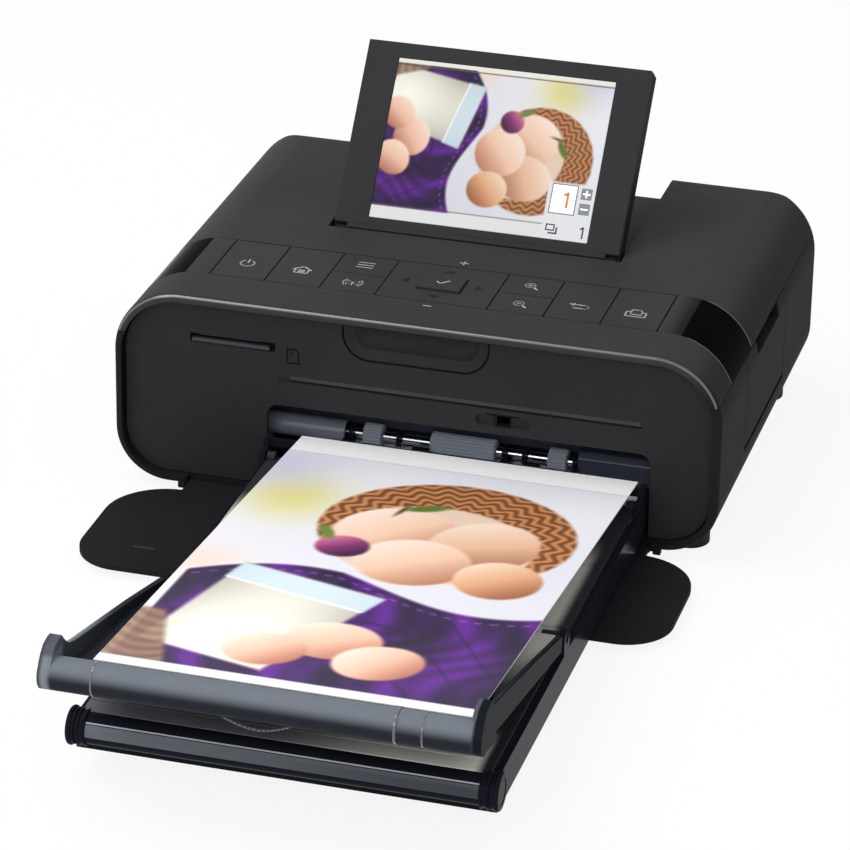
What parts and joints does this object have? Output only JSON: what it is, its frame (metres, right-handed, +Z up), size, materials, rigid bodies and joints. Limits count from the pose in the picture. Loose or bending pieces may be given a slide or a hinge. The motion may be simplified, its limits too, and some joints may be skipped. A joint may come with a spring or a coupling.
{
  "type": "compact photo printer",
  "caption": "Compact photo printer with a tilting colour screen, a row of keys, an open front door and a long paper cassette that carries a finished print",
  "frame": {"origin": "middle of the underside of the whole outfit, on the table under the rubber feet", "axes": "+X to the printer's right seen from the front, +Y to its rear, +Z up; the paper cassette and the open door reach out towards -Y"},
  "size_m": [0.1806, 0.3202, 0.1093],
  "materials": {
    "case_plastic": "satin",
    "panel_plastic": "satin",
    "gloss_band": "gloss",
    "key_plastic": "satin",
    "screen_bezel": "satin",
    "display_window": "gloss",
    "display_panel": "gloss",
    "cassette_plastic": "satin",
    "lid_plastic": "smoky",
    "inner_lid_plastic": "satin",
    "foot_rubber": "matte",
    "tyre_rubber": "matte",
    "roller_rubber": "matte",
    "steel_plate": "zinc plated",
    "shaft_steel": "polished",
    "screw_steel": "blackened",
    "heat_sink_aluminium": "as extruded",
    "head_ceramic": "glazed",
    "board": "lacquered",
    "socket_plastic": "satin",
    "gear_plastic": "natural",
    "chassis_plastic": "satin",
    "ink_shell_plastic": "translucent",
    "ribbon_film": "film",
    "paper": "coated paper",
    "print_paper": "glossy print"
  },
  "bodies": {
    "case": {"top_cover": "case_plastic", "lower_case": "case_plastic", "front_panel": "panel_plastic", "rear_panel": "panel_plastic", "control_band": "gloss_band", "rubber_feet": "foot_rubber", "case_screws": "screw_steel", "chassis_left": "steel_plate", "chassis_right": "steel_plate", "chassis_tie": "steel_plate", "paper_guide": "chassis_plastic", "paper_ramp": "chassis_plastic", "head_bracket": "steel_plate", "heat_sink": "heat_sink_aluminium", "thermal_head": "head_ceramic", "main_board": "board", "key_board": "board", "card_socket": "steel_plate", "power_socket": "socket_plastic", "usb_socket": "steel_plate", "battery_contact_cover": "panel_plastic", "feed_motor": "steel_plate", "motor_bracket": "steel_plate", "ink_cassette_shell": "ink_shell_plastic", "ink_ribbon": "ribbon_film", "screen_hinge_pins": "shaft_steel"},
    "screen": {"screen_back": "case_plastic", "screen_frame": "screen_bezel", "screen_window": "display_window", "display_module": "display_panel"},
    "front_door": {"front_door": "case_plastic"},
    "ink_door": {"ink_door": "case_plastic"},
    "eject_lever": {"eject_lever": "steel_plate"},
    "feed_roller": {"feed_shaft": "shaft_steel", "feed_tyres": "tyre_rubber", "feed_gear": "gear_plastic"},
    "idlers": {"idler_rollers": "gear_plastic"},
    "capstan": {"capstan_roller": "shaft_steel", "capstan_gear": "gear_plastic"},
    "pinch_roller": {"pinch_roller": "shaft_steel"},
    "platen_roller": {"platen_roller": "roller_rubber"},
    "motor_pinion": {"motor_pinion": "gear_plastic"},
    "supply_spool": {"supply_spool": "ribbon_film"},
    "takeup_spool": {"takeup_spool": "ribbon_film"},
    "paper_cassette": {"cassette_base": "cassette_plastic"},
    "inner_lid": {"inner_lid": "inner_lid_plastic"},
    "paper_stack": {"lift_plate": "steel_plate", "paper_stack": "paper"},
    "output_lid": {"output_lid": "lid_plastic"},
    "printed_sheet": {"printed_sheet": "print_paper"},
    "power_key": {"power_key": "key_plastic"},
    "home_key": {"home_key": "key_plastic"},
    "menu_key": {"menu_key": "key_plastic"},
    "wireless_key": {"wireless_key": "key_plastic"},
    "direction_pad": {"direction_pad": "key_plastic"},
    "ok_key": {"ok_key": "key_plastic"},
    "zoom_in_key": {"zoom_in_key": "key_plastic"},
    "zoom_out_key": {"zoom_out_key": "key_plastic"},
    "back_key": {"back_key": "key_plastic"},
    "print_key": {"print_key": "key_plastic"}
  },
  "joints": [
    {"name": "screen_tilt", "type": "hinge", "parent": "case", "child": "screen", "pos_m": [0.0005, 0.08937, 0.0608], "axis": [1, 0, 0], "range_deg": [-51.6, 0]},
    {"name": "front_door_hinge", "type": "hinge", "parent": "case", "child": "front_door", "pos_m": [0.0016, 0.02547, 0.0027], "axis": [-1, 0, 0], "range_deg": [0, 2]},
    {"name": "ink_door_hinge", "type": "hinge", "parent": "case", "child": "ink_door", "pos_m": [0.0889, 0.08737, 0.0218], "axis": [0, 1, 0], "range_deg": [0, 90]},
    {"name": "eject_lever_pivot", "type": "hinge", "parent": "case", "child": "eject_lever", "pos_m": [0.0728, 0.06987, 0.022], "axis": [1, 0, 0], "range_deg": [0, 15], "stiffness_Nm_per_rad": 0.05, "springref_deg": -17.19},
    {"name": "power_key_press", "type": "slide", "parent": "case", "child": "power_key", "axis": [0, 0, -1], "range_m": [0, 0.0006], "stiffness_N_per_m": 2000, "springref_m": -0.0003},
    {"name": "home_key_press", "type": "slide", "parent": "case", "child": "home_key", "axis": [0, 0, -1], "range_m": [0, 0.0006], "stiffness_N_per_m": 2000, "springref_m": -0.0003},
    {"name": "menu_key_press", "type": "slide", "parent": "case", "child": "menu_key", "axis": [0, 0, -1], "range_m": [0, 0.0006], "stiffness_N_per_m": 2000, "springref_m": -0.0003},
    {"name": "wireless_key_press", "type": "slide", "parent": "case", "child": "wireless_key", "axis": [0, 0, -1], "range_m": [0, 0.0006], "stiffness_N_per_m": 2000, "springref_m": -0.0003},
    {"name": "direction_pad_press", "type": "slide", "parent": "case", "child": "direction_pad", "axis": [0, 0, -1], "range_m": [0, 0.0006], "stiffness_N_per_m": 2000, "springref_m": -0.0003},
    {"name": "ok_key_press", "type": "slide", "parent": "case", "child": "ok_key", "axis": [0, 0, -1], "range_m": [0, 0.0006], "stiffness_N_per_m": 2000, "springref_m": -0.0003},
    {"name": "zoom_in_key_press", "type": "slide", "parent": "case", "child": "zoom_in_key", "axis": [0, 0, -1], "range_m": [0, 0.0006], "stiffness_N_per_m": 2000, "springref_m": -0.0003},
    {"name": "zoom_out_key_press", "type": "slide", "parent": "case", "child": "zoom_out_key", "axis": [0, 0, -1], "range_m": [0, 0.0006], "stiffness_N_per_m": 2000, "springref_m": -0.0003},
    {"name": "back_key_press", "type": "slide", "parent": "case", "child": "back_key", "axis": [0, 0, -1], "range_m": [0, 0.0006], "stiffness_N_per_m": 2000, "springref_m": -0.0003},
    {"name": "print_key_press", "type": "slide", "parent": "case", "child": "print_key", "axis": [0, 0, -1], "range_m": [0, 0.0006], "stiffness_N_per_m": 2000, "springref_m": -0.0003},
    {"name": "capstan_turn", "type": "hinge", "parent": "case", "child": "capstan", "pos_m": [0.0129, 0.05903, 0.0265], "axis": [1, 0, 0], "continuous": true},
    {"name": "feed_roller_turn", "type": "hinge", "parent": "case", "child": "feed_roller", "pos_m": [0.0129, 0.03837, 0.0202], "axis": [1, 0, 0], "continuous": true},
    {"name": "motor_pinion_turn", "type": "hinge", "parent": "case", "child": "motor_pinion", "pos_m": [-0.053, 0.07662, 0.02112], "axis": [1, 0, 0], "continuous": true},
    {"name": "pinch_roller_turn", "type": "hinge", "parent": "case", "child": "pinch_roller", "pos_m": [0.0129, 0.05903, 0.0332], "axis": [1, 0, 0], "continuous": true},
    {"name": "platen_roller_turn", "type": "hinge", "parent": "case", "child": "platen_roller", "pos_m": [0.0129, 0.08737, 0.0244], "axis": [1, 0, 0], "continuous": true},
    {"name": "supply_spool_turn", "type": "hinge", "parent": "case", "child": "supply_spool", "pos_m": [0.0129, 0.10337, 0.0392], "axis": [1, 0, 0], "continuous": true},
    {"name": "takeup_spool_turn", "type": "hinge", "parent": "case", "child": "takeup_spool", "pos_m": [0.0129, 0.07137, 0.0392], "axis": [1, 0, 0], "continuous": true},
    {"name": "idlers_turn", "type": "hinge", "parent": "case", "child": "idlers", "pos_m": [0.017, 0.03247, 0.0192], "axis": [1, 0, 0], "continuous": true},
    {"name": "cassette_slide", "type": "slide", "parent": "case", "child": "paper_cassette", "axis": [0, -1, 0], "range_m": [0, 0.04]},
    {"name": "output_lid_hinge", "type": "hinge", "parent": "paper_cassette", "child": "output_lid", "pos_m": [0.0129, -0.06613, 0.02], "axis": [-1, 0, 0], "range_deg": [-8, 0]},
    {"name": "inner_lid_hinge", "type": "hinge", "parent": "paper_cassette", "child": "inner_lid", "pos_m": [0.0129, 0.01937, 0.0183], "axis": [-1, 0, 0], "range_deg": [0, 0.8]},
    {"name": "paper_lift", "type": "slide", "parent": "paper_cassette", "child": "paper_stack", "axis": [0, 0, -1], "range_m": [0, 0.0007], "stiffness_N_per_m": 500, "springref_m": -0.003},
    {"name": "print_lift_off", "type": "slide", "parent": "paper_cassette", "child": "printed_sheet", "axis": [0, 0, 1], "range_m": [0, 0.03]}
  ],
  "couplings": [
    {"joint": "feed_roller_turn", "follows": "capstan_turn", "ratio": -1.7},
    {"joint": "motor_pinion_turn", "follows": "capstan_turn", "ratio": -2.8333},
    {"joint": "pinch_roller_turn", "follows": "capstan_turn", "ratio": -1.1667},
    {"joint": "platen_roller_turn", "follows": "capstan_turn", "ratio": 0.63636},
    {"joint": "supply_spool_turn", "follows": "capstan_turn", "ratio": -0.56452},
    {"joint": "takeup_spool_turn", "follows": "capstan_turn", "ratio": -0.79546}
  ]
}
